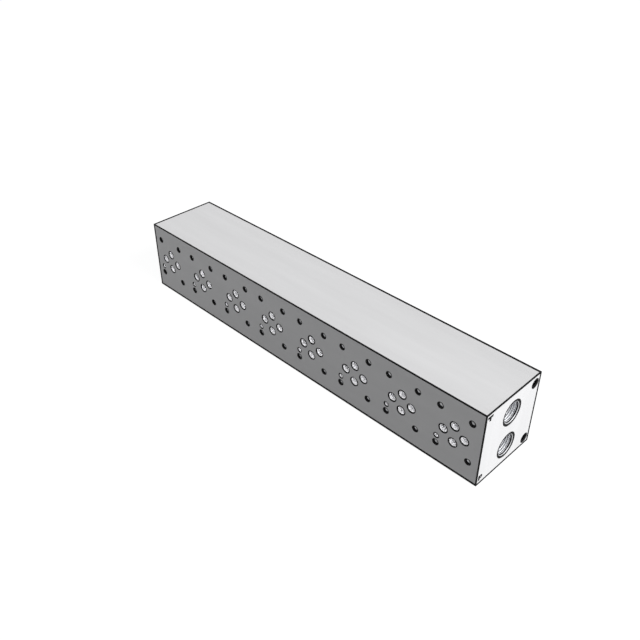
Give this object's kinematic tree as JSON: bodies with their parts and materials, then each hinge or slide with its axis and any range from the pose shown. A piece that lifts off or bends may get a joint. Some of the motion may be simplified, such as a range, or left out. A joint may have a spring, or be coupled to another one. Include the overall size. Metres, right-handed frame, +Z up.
{
  "type": "hydraulic manifold block",
  "caption": "Square aluminium bar manifold that carries a row of size 03 directional valves in series, with threaded ports on its ends and rear.",
  "frame": {"origin": "middle of the bottom face", "axes": "+X along the bar towards the end that the picture shows, -Y out of the valve face, +Z up"},
  "size_m": [0.4318, 0.0762, 0.0762],
  "materials": {
    "machined_aluminium": "milled, fine tool marks, broken edges"
  },
  "bodies": {
    "root": {"manifold_block": "machined_aluminium"}
  },
  "joints": []
}
